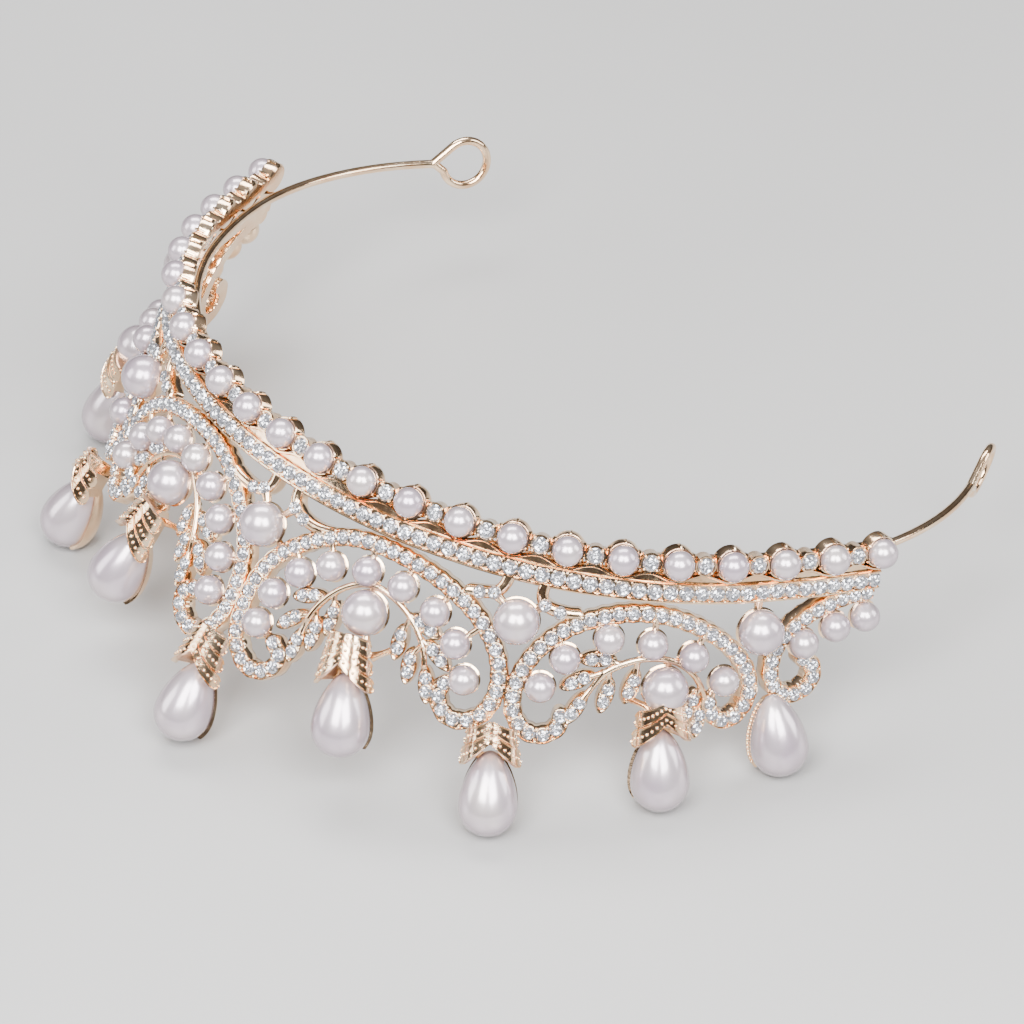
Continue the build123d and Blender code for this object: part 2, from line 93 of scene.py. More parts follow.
EYE_REACH = 5.4
EYE_RADIUS = 3.6
EYE_GAP = math.radians(20.0)

# Centre lines of the scroll strips, right side, as (u, d)
ARCH_A = [(7.1, 25.8), (10.1, 28.2), (7.4, 31.0), (2.9, 29.4), (1.25, 24.0), (2.4, 17.1), (7.3, 11.1),
          (13.2, 7.5), (21.0, 6.3), (29.2, 7.2), (36.5, 10.6), (40.5, 16.5), (39.3, 22.6), (35.6, 23.7),
          (33.4, 20.8), (34.4, 18.8)]
ARCH_B = [(49.4, 16.8), (50.6, 18.8), (48.4, 21.3), (45.0, 20.6), (43.1, 17.5), (43.0, 12.6),
          (45.2, 7.3), (49.6, 2.9), (55.4, 0.0), (62.4, -0.7), (68.5, 0.6), (73.0, 3.2), (75.2, 7.2),
          (73.6, 11.1), (70.6, 10.6), (69.5, 8.1)]
END_SCROLL = [(80.2, 0.4), (82.8, 0.2), (84.3, 2.6), (82.4, 5.2), (79.0, 5.0), (76.9, 2.4),
              (76.6, -1.6), (78.7, -5.7), (82.3, -9.0), (85.8, -11.0), (88.2, -11.6)]
ARCH_A_PEARLS = [(4.9, 24.8), (5.5, 19.9), (8.2, 15.4), (12.3, 12.3), (17.6, 10.4), (23.2, 10.0),
                 (28.7, 11.1), (33.0, 13.9), (36.0, 18.0)]
ARCH_B_PEARLS = [(46.0, 14.7), (47.6, 9.7), (52.1, 4.9), (58.1, 3.6), (64.4, 3.5), (70.2, 5.6)]
END_PEARLS = [(79.9, -2.4), (83.8, -5.8), (88.0, -8.2)]
LARGE_PEARLS = {"centre": (0.0, 12.1), "a": (19.9, 15.5), "j1": (39.5, 7.2), "b": (62.0, 8.8),
                "j2": (71.9, -2.8)}
# Drops as (u and d of the top, tilt towards the back, kick outwards, chevrons on the cap)
DROPS = {"centre": (0.0, 33.5, 0.0, 0.0, 3), "a": (21.0, 24.0, 16.5, 0.0, 3),
         "j1": (43.2, 25.2, 19.5, 4.0, 2), "b": (63.4, 14.2, 23.3, 4.0, 2),
         "j2": (77.6, 5.5, 31.0, 9.0, 0)}
STEM_A = [(12.0, 20.4), (14.2, 15.4), (18.9, 11.9), (24.2, 12.6), (28.9, 16.3), (30.2, 18.6)]
STEM_B = [(53.4, 9.7), (56.7, 6.6), (61.8, 5.0), (66.5, 6.6), (68.6, 8.8)]
# Leaves as (base u, base d, angle clockwise from straight down)
LEAVES_A = [(25.6, 12.9, -75), (28.9, 15.3, -62), (25.2, 14.6, -8), (27.6, 17.0, -12),
            (30.3, 18.6, -25), (13.0, 16.4, 62), (11.2, 19.8, 40), (15.0, 16.2, -4), (13.5, 19.4, -2),
            (11.6, 22.2, 0)]
LEAVES_B = [(54.4, 7.2, 68), (52.4, 10.2, 46), (54.8, 10.0, -3), (57.8, 7.6, 0), (52.3, 13.2, 12),
            (67.0, 7.8, 0), (68.6, 9.6, -12)]
SPRAY_ARMS_A = [((19.9, 15.5), (19.2, 12.0)), ((19.9, 15.5), (21.1, 19.6)), ((15.2, 20.5), (20.0, 21.4)),
                ((22.8, 21.0), (25.6, 18.4))]
SPRAY_ARMS_B = [((62.0, 8.8), (61.4, 5.2)), ((62.0, 8.8), (62.0, 12.0)), ((57.8, 12.0), (61.6, 12.4)),
                ((64.2, 12.6), (67.0, 11.4))]
CENTRE_BAR = [(2.4, 4.6), (3.1, 8.0), (5.1, 8.8), (7.5, 8.9), (10.6, 8.2)]
SIDE_BARS = [[(36.0, 1.6), (35.1, 5.1), (33.2, 5.9), (31.0, 6.6)],
             [(41.2, 0.6), (42.2, 3.9), (44.5, 4.1), (47.6, 3.2)]]
REAR_STRUT = (70.2, -7.6)
LEAF_LENGTH = 5.4
LEAF_WIDTH = 2.3
LEAF_STONES = (1.7, 3.6)
TWIG_REACH = 1.3


# ---- the bent sheet ----

def section(u):
    """Points and headings of the sheet's section at distances u round it from the front."""
    u = np.asarray(u, float)
    left = np.abs(u)
    x, y, heading = np.zeros_like(left), np.zeros_like(left), np.zeros_like(left)
    for radius, length in SECTION_ARCS:
        step = np.minimum(left, length) / radius
        x = x + radius * (np.sin(heading + step) - np.sin(heading))
        y = y + radius * (np.cos(heading) - np.cos(heading + step))
        heading = heading + step
        left = left - np.minimum(left, length)
    return np.sign(u) * x, y, np.sign(u) * heading


def on_sheet(u, d, off):
    """Places on the sheet as points of its own upright frame."""
    x, y, heading = section(u)
    return np.stack([x + off * np.sin(heading), y - off * np.cos(heading), -d + 0 * x], -1)


def lean(points):
    """Upright sheet points turned onto the drop tips."""
    x, y, z = np.moveaxis(points, -1, 0)
    return np.stack([x, y * math.cos(LEAN) + z * math.sin(LEAN),
                     z * math.cos(LEAN) - y * math.sin(LEAN)], -1)


SWEEP = np.linspace(-110, 110, 4401)
SWEEP_LENGTH = np.concatenate([[0], np.cumsum(
    np.hypot(1, BAND_RISE * np.sin(section((SWEEP[1:] + SWEEP[:-1]) / 2)[2])) * np.diff(SWEEP))])
SWEEP_LENGTH -= np.interp(0, SWEEP, SWEEP_LENGTH)


def on_band(s, h):
    """Sheet place of a point s along the pearl row from the front and h below it."""
    u = np.interp(s, SWEEP_LENGTH, SWEEP)
    _, y, heading = section(u)
    slope = np.arctan(BAND_RISE * np.sin(heading))
    return u + h * np.sin(slope), -BAND_RISE * y + h * np.cos(slope)


def band_slope(u):
    """Angle that the band climbs at u."""
    return math.atan(BAND_RISE * math.sin(float(section(u)[2])))


pearl_s = (np.arange(BAND_PEARLS) - (BAND_PEARLS - 1) / 2) * PEARL_PITCH
row = lean(on_sheet(*on_band(pearl_s, 0.0), 0.0))
low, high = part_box("band_pearls")
SHIFT = np.array([0.0, low[1] / MM + FRAME_PEARL - row[:, 1].min(),
                  high[2] / MM - FRAME_PEARL - row[:, 2].max()])
FRONT = lean(on_sheet(np.array(0.0), 0.0, 0.0)) + SHIFT


# ---- meshes ----

class Shape:
    """The mesh of one piece, gathered patch by patch in the sheet's upright frame."""

    def __init__(self):
        self.verts = []
        self.faces = []
        self.count = 0

    def patch(self, verts, faces):
        verts = np.asarray(verts, float).reshape(-1, 3)
        self.verts.append(verts)
        self.faces += [tuple(int(i) + self.count for i in face) for face in faces]
        self.count += len(verts)

    def grid(self, verts, closed_a=False, closed_b=False, caps=False):
        """A patch from a grid of points; either way round may close on itself."""
        verts = np.asarray(verts, float)
        a, b = verts.shape[:2]
        faces = []
        for i in range(a if closed_a else a - 1):
            for j in range(b if closed_b else b - 1):
                k, l = (i + 1) % a, (j + 1) % b
                faces.append((i * b + j, i * b + l, k * b + l, k * b + j))
        if caps:
            faces.append(tuple(range(b)))
            faces.append(tuple(range((a - 1) * b, a * b))[::-1])
        self.patch(verts, faces)


def place(u, d, off=0.0, turn=0.0):
    """Origin and axes (along, up, out) of a small part's frame, turned anticlockwise."""
    heading = float(section(u)[2])
    origin = on_sheet(np.array(float(u)), d, off)
    flat = np.array([math.cos(heading), math.sin(heading), 0.0])
    up = np.array([0.0, 0.0, 1.0])
    out = np.array([math.sin(heading), -math.cos(heading), 0.0])
    along = flat * math.cos(turn) + up * math.sin(turn)
    return origin, along, up * math.cos(turn) - flat * math.sin(turn), out


def put(points, spot):
    """Local points carried into a frame from place()."""
    origin, along, up, out = spot
    points = np.asarray(points, float)
    return origin + points[..., :1] * along + points[..., 1:2] * up + points[..., 2:] * out


def spline(points, step=0.25):
    """A smooth curve through points, sampled evenly."""
    points = np.asarray(points, float)
    gaps = np.concatenate([[0], np.cumsum(np.linalg.norm(np.diff(points, axis=0), axis=1))])
    count = len(points)
    matrix, right = np.zeros((count, count)), np.zeros((count, points.shape[1]))
    for i in range(1, count - 1):
        before, after = gaps[i] - gaps[i - 1], gaps[i + 1] - gaps[i]
        matrix[i, i - 1:i + 2] = before, 2 * (before + after), after
        right[i] = 6 * ((points[i + 1] - points[i]) / after - (points[i] - points[i - 1]) / before)
    matrix[0, 0] = matrix[-1, -1] = 1
    matrix[0, 1] = matrix[-1, -2] = -0.8
    bend = np.linalg.solve(matrix, right)
    fine = np.linspace(0, gaps[-1], 60 * count)
    k = np.clip(np.searchsorted(gaps, fine) - 1, 0, count - 2)
    span = (gaps[k + 1] - gaps[k])[:, None]
    a, b = (gaps[k + 1] - fine)[:, None] / span, (fine - gaps[k])[:, None] / span
    curve = (a * points[k] + b * points[k + 1]
             + ((a ** 3 - a) * bend[k] + (b ** 3 - b) * bend[k + 1]) * span ** 2 / 6)
    length = np.concatenate([[0], np.cumsum(np.linalg.norm(np.diff(curve, axis=0), axis=1))])
    even = np.linspace(0, length[-1], max(3, int(round(length[-1] / step)) + 1))
    return np.stack([np.interp(even, length, curve[:, i]) for i in range(points.shape[1])], -1), even


def sides(curve):
    """Unit vectors across a flat curve, to its left."""
    run = np.gradient(curve, axis=0)
    run /= np.linalg.norm(run, axis=1)[:, None]
    return np.stack([-run[:, 1], run[:, 0]], -1)


def tube(shape, points, radii, segments):
    """A round tube along points in the upright frame."""
    points = np.asarray(points, float)
    radii = np.broadcast_to(np.asarray(radii, float), len(points))
    run = np.gradient(points, axis=0)
    run /= np.linalg.norm(run, axis=1)[:, None]
    helper = np.array([0.0, 0.0, 1.0]) if abs(run[0][2]) < 0.9 else np.array([1.0, 0.0, 0.0])
    first = np.cross(helper, run[0])
    rings = []
    for i, (point, along) in enumerate(zip(points, run)):
        first = first - along * np.dot(first, along)
        first /= np.linalg.norm(first)
        second = np.cross(along, first)
        angle = np.arange(segments) * 2 * math.pi / segments
        round_it = np.cos(angle)[:, None] * first + np.sin(angle)[:, None] * second
        rings.append(point + radii[i] * round_it)
    shape.grid(rings, closed_b=True, caps=True)


def lathe(shape, profile, spot, segments, axis="out"):
    """A surface of revolution in a local frame, from a profile of (radius, height)."""
    profile = np.asarray(profile, float)
    angle = np.arange(segments) * 2 * math.pi / segments
    radius, height = profile[:, 0][None, :], profile[:, 1][None, :]
    ones = np.ones((len(angle), 1))
    if axis == "out":
        points = np.stack([np.cos(angle)[:, None] * radius, np.sin(angle)[:, None] * radius,
                           ones * height], -1)
    else:
        points = np.stack([np.sin(angle)[:, None] * radius, ones * height,
                           np.cos(angle)[:, None] * radius], -1)
    shape.grid(put(points, spot), closed_a=True)


def ball(shape, centre, radius, rings=14, segments=24):
    """A sphere about a point of the upright frame."""
    polar = np.linspace(0, math.pi, rings + 1)[1:-1]
    angle = np.arange(segments) * 2 * math.pi / segments
    middle = np.stack([np.outer(np.sin(polar), np.cos(angle)), np.outer(np.sin(polar), np.sin(angle)),
                       np.outer(np.cos(polar), np.ones(segments))], -1).reshape(-1, 3)
    verts = np.concatenate([middle, [[0, 0, 1], [0, 0, -1]]]) * radius + centre
    faces = []
    last = len(polar) - 1
    for j in range(segments):
        k = (j + 1) % segments
        faces += [(i * segments + j, i * segments + k, (i + 1) * segments + k, (i + 1) * segments + j)
                  for i in range(last)]
        faces.append((len(middle), k, j))
        faces.append((len(middle) + 1, last * segments + j, last * segments + k))
    shape.patch(verts, faces)


def finish(shape, name, node, material, angle=40):
    """The Blender object of a shape: leant, moved onto the frame and bound to it."""
    verts = (lean(np.concatenate(shape.verts)) + SHIFT) * MM
    mesh = bpy.data.meshes.new(name)
    mesh.from_pydata(verts.tolist(), [], shape.faces)
    mesh.validate()
    mesh.shade_smooth()
    mesh.set_sharp_from_angle(angle=math.radians(angle))
    mesh.materials.append(material)
    piece = bpy.data.objects.new(name, mesh)
    bpy.context.collection.objects.link(piece)
    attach(piece, "root")
    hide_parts(*node)
    return piece


# ---- materials ----

def material(name, metallic, rough, **sockets):
    """A Principled material, with the node tree's main parts returned for further wiring."""
    made = bpy.data.materials.new(name)
    made.use_nodes = True
    nodes, links = made.node_tree.nodes, made.node_tree.links
    shader = nodes["Principled BSDF"]
    shader.inputs["Metallic"].default_value = metallic
    shader.inputs["Roughness"].default_value = rough
    for socket, value in sockets.items():
        shader.inputs[socket.replace("_", " ")].default_value = value
    return made, nodes, links, shader


def noise(nodes, links, scale, detail=3.0, kind="ShaderNodeTexNoise"):
    """A texture in object space, in features per metre."""
    coords = nodes.new("ShaderNodeTexCoord")
    texture = nodes.new(kind)
    texture.inputs["Scale"].default_value = scale
    if "Detail" in texture.inputs:
        texture.inputs["Detail"].default_value = detail
    links.new(coords.outputs["Object"], texture.inputs["Vector"])
    return texture


def ramp(nodes, links, source, low, high, stops):
    """A colour ramp driven by a value between low and high."""
    spread = nodes.new("ShaderNodeMapRange")
    spread.inputs["From Min"].default_value = low
    spread.inputs["From Max"].default_value = high
    links.new(source, spread.inputs["Value"])
    colours = nodes.new("ShaderNodeValToRGB")
    while len(colours.color_ramp.elements) < len(stops):
        colours.color_ramp.elements.new(0.5)
    for element, (position, colour) in zip(colours.color_ramp.elements, stops):
        element.position = position
        element.color = (*colour, 1.0)
    links.new(spread.outputs["Result"], colours.inputs["Fac"])
    return colours


def bump(nodes, links, source, shader, strength, distance):
    """Fine relief from a texture."""
    relief = nodes.new("ShaderNodeBump")
    relief.inputs["Strength"].default_value = strength
    relief.inputs["Distance"].default_value = distance
    links.new(source, relief.inputs["Height"])
    links.new(relief.outputs["Normal"], shader.inputs["Normal"])


def gold():
    """Pale rose gold plating: uneven tone and polish, with faint casting ripples."""
    made, nodes, links, shader = material("rose_gold", 1.0, 0.14)
    tone = noise(nodes, links, 260, 2.0)
    colours = ramp(nodes, links, tone.outputs["Fac"], 0.3, 0.7,
                   [(0.0, (0.88, 0.56, 0.32)), (0.55, (0.94, 0.66, 0.42)), (1.0, (0.98, 0.76, 0.53))])
    links.new(colours.outputs["Color"], shader.inputs["Base Color"])
    polish = noise(nodes, links, 900, 4.0)
    rough = ramp(nodes, links, polish.outputs["Fac"], 0.3, 0.7,
                 [(0.0, (0.07, 0.07, 0.07)), (1.0, (0.21, 0.21, 0.21))])
    links.new(rough.outputs["Color"], shader.inputs["Roughness"])
    ripple = noise(nodes, links, 1300, 3.0)
    bump(nodes, links, ripple.outputs["Fac"], shader, 0.25, 0.00012)
    return made


def pearl():
    """Imitation pearl: white body, lavender and cream drift, a painted shade of darker lavender towards
    its outline, satin lustre under a clear coat.
    """
    made, nodes, links, shader = material("pearl_lustre", 0.55, 0.26, Coat_Weight=0.9,
                                          Coat_Roughness=0.07, Coat_IOR=1.55, Specular_IOR_Level=0.6)
    drift = noise(nodes, links, 140, 2.0)
    colours = ramp(nodes, links, drift.outputs["Fac"], 0.3, 0.7,
                   [(0.0, (0.54, 0.45, 0.52)), (0.5, (0.62, 0.54, 0.58)), (1.0, (0.70, 0.62, 0.61))])
    # Painted shade: a darker lavender colour is mixed into the body towards the pearl's outline, standing
    # in for the shade at its rim.
    edge = nodes.new("ShaderNodeLayerWeight")
    edge.inputs["Blend"].default_value = 0.35
    rim_shade_mix = nodes.new("ShaderNodeMix")
    rim_shade_mix.data_type = "RGBA"
    links.new(edge.outputs["Facing"], rim_shade_mix.inputs["Factor"])
    links.new(colours.outputs["Color"], rim_shade_mix.inputs["A"])
    rim_shade_mix.inputs["B"].default_value = (0.26, 0.18, 0.21, 1.0)
    links.new(rim_shade_mix.outputs["Result"], shader.inputs["Base Color"])
    skin = noise(nodes, links, 2200, 3.0)
    bump(nodes, links, skin.outputs["Fac"], shader, 0.06, 0.00005)
    return made


def crystal():
    """Foil-backed crystal: mirror-bright facets, with light and dark flashes painted into the colour in
    small cells, as painted reflections of inner facets.
    """
    made, nodes, links, shader = material("crystal_facets", 0.78, 0.02, Coat_Weight=1.0,
                                          Coat_Roughness=0.02, Coat_IOR=1.7)
    # Painted reflections: small cells of white, grey and dark grey colour stand in for the light and dark
    # flashes of the stone's inner facets.
    cells = noise(nodes, links, 1700, kind="ShaderNodeTexVoronoi")
    painted_flash_colours = ramp(nodes, links, cells.outputs["Distance"], 0.1, 0.8,
                [(0.0, (1.0, 1.0, 1.0)), (0.7, (1.0, 1.0, 1.0)), (0.9, (0.82, 0.83, 0.86)),
                 (1.0, (0.45, 0.46, 0.50))])
    links.new(painted_flash_colours.outputs["Color"], shader.inputs["Base Color"])
    return made


GOLD, PEARL, CRYSTAL = gold(), pearl(), crystal()


# ---- parts of the pieces ----

def stone(shape, spot, radius):
    """A brilliant-cut stone: girdle, kite facets and a table broken into a star."""
    turn = random.uniform(0, math.pi)
    tilt = random.normal(0, 0.05, 2)
    steps = np.arange(16) * math.pi / 8 + turn

    def ring(share, height, lift=0.0, every=1):
        angle = steps[::every]
        heights = height + lift * (np.arange(len(angle)) % 2)
        x, y = share * np.cos(angle), share * np.sin(angle)
        return np.stack([x, y, heights + tilt[0] * x + tilt[1] * y], -1) * radius

    rings = [ring(0.97, -0.1), ring(1.0, 0.26), ring(0.80, 0.50, 0.10), ring(0.56, 0.68, -0.02),
             ring(0.30, 0.55, 0.12)]
    verts = np.concatenate(rings + [[[0, 0, 0.5 * radius]]])
    faces = []
    for level in range(4):
        for j in range(16):
            a, b = level * 16 + j, level * 16 + (j + 1) % 16
            c, d = a + 16, b + 16
            faces += [(a, b, d), (a, d, c)] if j % 2 else [(a, b, c), (b, d, c)]
    faces += [(64 + j, 64 + (j + 1) % 16, 80) for j in range(16)]
    shape.patch(put(verts, spot), faces)


def bead(shape, u, d, off, radius):
    """A small gold ball on the sheet."""
    ball(shape, on_sheet(np.array(float(u)), d, off), radius, 6, 10)


def ribbon(shape, curve, profile, half=STRIP_HALF, taper=1.6, scallop=0.05, phase=0.0):
    """A strip along a sheet curve: profile points are (share of half width, off)."""
    points, run = curve
    side = sides(points)
    share = np.clip(np.minimum(run, run[-1] - run) / taper, 0, 1)
    width = half * (0.25 + 0.75 * np.sqrt(np.clip(1 - (1 - share) ** 2, 0, 1)))
    width = width * (1 + scallop * np.cos(2 * math.pi * (run - phase) / STONE_PITCH))
    rows = []
    for across, off in profile:
        spots = points + side * (across * width)[:, None]
        rows.append(on_sheet(spots[:, 0], spots[:, 1], off))
    shape.grid(np.stack(rows, 1), closed_b=True, caps=True)


STRIP_PROFILE = [(-0.92, METAL_INNER), (-1.0, METAL_INNER + 0.15), (-1.0, STRIP_FACE - 0.12),
                 (-0.94, STRIP_FACE), (-0.86, STRIP_FACE), (-0.80, STRIP_FACE - STRIP_GROOVE),
                 (0.80, STRIP_FACE - STRIP_GROOVE), (0.86, STRIP_FACE), (0.94, STRIP_FACE),
                 (1.0, STRIP_FACE - 0.12), (1.0, METAL_INNER + 0.15), (0.92, METAL_INNER)]
BAR_PROFILE = [(-0.92, METAL_INNER), (-1.0, METAL_INNER + 0.15), (-1.0, -0.9), (-0.8, -0.6), (-0.4, -0.42),
               (0.0, -0.36), (0.4, -0.42), (0.8, -0.6), (1.0, -0.9), (1.0, METAL_INNER + 0.15),
               (0.92, METAL_INNER)]


def strip_spots(curve, pitch, inset):
    """Places, sides and distances along a curve at even steps."""
    points, run = curve
    count = int(round((run[-1] - 2 * inset) / pitch)) + 1
    even = inset + np.arange(count) * (run[-1] - 2 * inset) / (count - 1)
    side = sides(points)
    return (np.stack([np.interp(even, run, points[:, i]) for i in (0, 1)], -1),
            np.stack([np.interp(even, run, side[:, i]) for i in (0, 1)], -1), even)


def scroll(metal, stones, path, mirror):
    """A stone-set strip with prong beads between its stones."""
    points = np.array(path, float) * (mirror, 1)
    curve = spline(points)
    ribbon(metal, curve, STRIP_PROFILE, phase=STRIP_INSET)
    spots, _, even = strip_spots(curve, STONE_PITCH, STRIP_INSET)
    for u, d in spots:
        stone(stones, place(u, d, STRIP_FACE - STRIP_GROOVE), STONE_RADIUS)
    middle = (even[1:] + even[:-1]) / 2
    side = sides(curve[0])
    for run in middle:
        at = np.array([np.interp(run, curve[1], curve[0][:, i]) for i in (0, 1)])
        across = np.array([np.interp(run, curve[1], side[:, i]) for i in (0, 1)])
        for sign in (-1, 1):
            spot = at + across * sign * PRONG_ACROSS
            bead(metal, spot[0], spot[1], STRIP_FACE + 0.02, PRONG_RADIUS)


def nearest(path, spot):
    """The point of a centre line nearest to a place."""
    points = spline(np.array(path, float))[0]
    return points[np.argmin(np.linalg.norm(points - spot, axis=1))]


def peg(shape, start, end, off=-0.9, radius=0.58):
    """A short round arm on the sheet, thicker where it meets its ends."""
    start, end = np.array(start, float), np.array(end, float)
    share = np.linspace(0, 1, 8)
    spots = start + share[:, None] * (end - start)
    radii = radius * (0.8 + 0.5 * (2 * share - 1) ** 2)
    tube(shape, on_sheet(spots[:, 0], spots[:, 1], off), radii, 10)


def cup(shape, u, d, off, radius, rim=-0.9):
    """A bowl behind a round pearl, with a thin rim that shows round its edge."""
    inner, outer = radius + 0.01, radius + PEARL_CUP_WALL
    angle = np.linspace(math.asin(rim / outer), -math.pi / 2, 9)
    out = [(outer * math.cos(a), outer * math.sin(a)) for a in angle]
    back = [(inner * math.cos(a), inner * math.sin(a)) for a in angle[::-1]]
    lathe(shape, out + back + [out[0]], place(u, d, off), 28)


def leaf(metal, stones, u, d, turn):
    """A pointed leaf with a raised edge and two stones."""
    tilt = math.radians(turn)
    steps = np.linspace(0, math.pi, 15)
    length, half = LEAF_LENGTH / 2, LEAF_WIDTH / 2
    right = np.stack([half * np.sin(steps) ** 1.15, -length + length * np.cos(steps)], -1)
    outline = np.concatenate([right, right[-2:0:-1] * (-1, 1)])
    centre = np.array([0.0, -length])
    rows = []
    for share, off in ((0.9, METAL_INNER + 0.3), (1.0, METAL_INNER + 0.6), (1.0, -0.55), (0.94, -0.35),
                       (0.84, -0.35), (0.74, -0.55), (0.02, -0.55)):
        flat = centre + (outline - centre) * share
        rows.append(np.concatenate([flat, np.full((len(flat), 1), off)], 1))
    rows = np.stack(rows)
    cos, sin = math.cos(-tilt), math.sin(-tilt)
    x, y = rows[..., 0] * cos - rows[..., 1] * sin, rows[..., 0] * sin + rows[..., 1] * cos
    metal.grid(on_sheet(u + x, d - y, rows[..., 2]), closed_b=True, caps=True)
    for reach in LEAF_STONES:
        spot = place(u - reach * math.sin(tilt), d + reach * math.cos(tilt), -0.5)
        stone(stones, spot, LEAF_STONE)
    for reach in (0.7, (LEAF_STONES[0] + LEAF_STONES[1]) / 2, 4.6):
        side_reach = 0.78 if 1 < reach < 4 else 0.0
        for sign in (-1, 1):
            x, y = sign * side_reach, -reach
            bead(metal, u + x * cos - y * sin, d - (x * sin + y * cos), -0.38, 0.22)


def bar(metal, stones, path, mirror):
    """A bracket's bar: a strut from the band, two stones and a taper into the arch."""
    points = np.array(path, float) * (mirror, 1)
    curve = spline(points)
    ribbon(metal, curve, BAR_PROFILE, half=BAR_HALF, taper=0.8, scallop=0.0)
    for index in (1, 2):
        u, d = points[index]
        stone(stones, place(u, d, STRIP_FACE - 0.2), BAR_STONE)


# ---- the pieces ----

SIDES = (("right", 1), ("left", -1))


def flipped(path, mirror):
    """A path on the side asked for."""
    return [(mirror * u, d) for u, d in path]


for label, path, pearls in (("large_arch", ARCH_A, ARCH_A_PEARLS), ("small_arch", ARCH_B, ARCH_B_PEARLS),
                            ("end_scroll", END_SCROLL, END_PEARLS)):
    crystals, beads = Shape(), Shape()
    for word, mirror in SIDES:
        metal = Shape()
        scroll(metal, crystals, path, mirror)
        for u, d in flipped(pearls, mirror):
            cup(metal, u, d, 0.0, SMALL_PEARL)
            peg(metal, (u, d), nearest(flipped(path, mirror), (u, d)))
            ball(beads, on_sheet(np.array(u), d, 0.0), SMALL_PEARL)
        finish(metal, f"{label}_{word}_metal", [f"{label}_{word}"], GOLD)
    finish(crystals, f"{label}_crystals", [f"{label}_stones"], CRYSTAL, 1)
    finish(beads, f"{label}_beads", [f"{label}_pearls"], PEARL, 180)

for label, stem, leaves, arms, station in (("large_spray", STEM_A, LEAVES_A, SPRAY_ARMS_A, "a"),
                                           ("small_spray", STEM_B, LEAVES_B, SPRAY_ARMS_B, "b")):
    crystals = Shape()
    for word, mirror in SIDES:
        metal = Shape()
        curve, run = spline(np.array(flipped(stem, mirror)))
        tube(metal, on_sheet(curve[:, 0], curve[:, 1], -0.45), 0.52 - 0.1 * (run / run[-1]), 12)
        for u, d, turn in leaves:
            leaf(metal, crystals, mirror * u, d, mirror * turn)
            root = (mirror * (u - TWIG_REACH * math.sin(math.radians(turn))),
                    d + TWIG_REACH * math.cos(math.radians(turn)))
            peg(metal, root, nearest(flipped(stem, mirror), (mirror * u, d)), off=-0.6, radius=0.5)
        for start, end in arms:
            peg(metal, *flipped((start, end), mirror))
        u, d = LARGE_PEARLS[station]
        cup(metal, mirror * u, d, LARGE_OFF, LARGE_PEARL, rim=LARGE_CUP_RIM)
        finish(metal, f"{label}_{word}_metal", [f"{label}_{word}"], GOLD)
    finish(crystals, f"{label}_crystals", [f"{label}_stones"], CRYSTAL, 1)

# Brackets
crystals = Shape()
metal = Shape()
for mirror in (1, -1):
    bar(metal, crystals, CENTRE_BAR, mirror)
    peg(metal, *flipped((CENTRE_BAR[1], LARGE_PEARLS["centre"]), mirror), radius=STRUT_RADIUS)
    peg(metal, *flipped((LARGE_PEARLS["centre"], (4.0, 14.2)), mirror), radius=0.6)
cup(metal, *LARGE_PEARLS["centre"], LARGE_OFF, LARGE_PEARL, rim=LARGE_CUP_RIM)
finish(metal, "centre_bracket_metal", ["centre_bracket"], GOLD)
for word, mirror in SIDES:
    metal = Shape()
    for path in SIDE_BARS:
        bar(metal, crystals, path, mirror)
        peg(metal, *flipped((path[1], LARGE_PEARLS["j1"]), mirror), radius=STRUT_RADIUS)
    u, d = LARGE_PEARLS["j1"]
    cup(metal, mirror * u, d, LARGE_OFF, LARGE_PEARL, rim=LARGE_CUP_RIM)
    finish(metal, f"side_bracket_{word}_metal", [f"side_bracket_{word}"], GOLD)
    metal = Shape()
    u, d = LARGE_PEARLS["j2"]
    cup(metal, mirror * u, d, LARGE_OFF, LARGE_PEARL, rim=LARGE_CUP_RIM)
    peg(metal, *flipped((REAR_STRUT, (u, d)), mirror), radius=STRUT_RADIUS)
    finish(metal, f"rear_strut_{word}_metal", [f"rear_strut_{word}"], GOLD)
finish(crystals, "bracket_crystals", ["bracket_stones"], CRYSTAL, 1)

# Large round pearls
beads = Shape()
for name, (u, d) in LARGE_PEARLS.items():
    for mirror in ((1,) if name == "centre" else (1, -1)):
        ball(beads, on_sheet(np.array(mirror * u), d, LARGE_OFF), LARGE_PEARL, 22, 36)
finish(beads, "large_pearl_beads", ["large_pearls"], PEARL, 180)


# Drops: pear-shaped pearls in back cups, most under a cap of beaded chevrons
def drop_spot(station, mirror):
    """Frame of a drop: origin at its top, with its tilt and its kick outwards."""
    u, d, tilt, kick, _ = DROPS[station]
    origin, across, up, out = place(mirror * u, d, DROP_OFF, mirror * math.radians(tilt))
    kick = math.radians(kick)
    return (origin, across, up * math.cos(kick) - out * math.sin(kick),
            out * math.cos(kick) + up * math.sin(kick))


WIDEST = DROP_RADIUS - DROP_LENGTH


def drop_radius(height, margin=0.0):
    """Half width of a drop at heights below its top (negative), grown by a margin."""
    radius = DROP_RADIUS + margin
    t = np.linspace(0, 1, 60)[:, None]
    corners = np.array([(0, margin), (0.4 * radius, margin), (radius, -4.2), (radius, WIDEST)])
    curve = ((1 - t) ** 3 * corners[0] + 3 * t * (1 - t) ** 2 * corners[1]
             + 3 * t ** 2 * (1 - t) * corners[2] + t ** 3 * corners[3])
    upper = np.interp(-height, -curve[:, 1], curve[:, 0])
    lower = np.sqrt(np.clip(radius ** 2 - (WIDEST - height) ** 2, 0, None))
    return np.where(height < WIDEST, lower, upper)


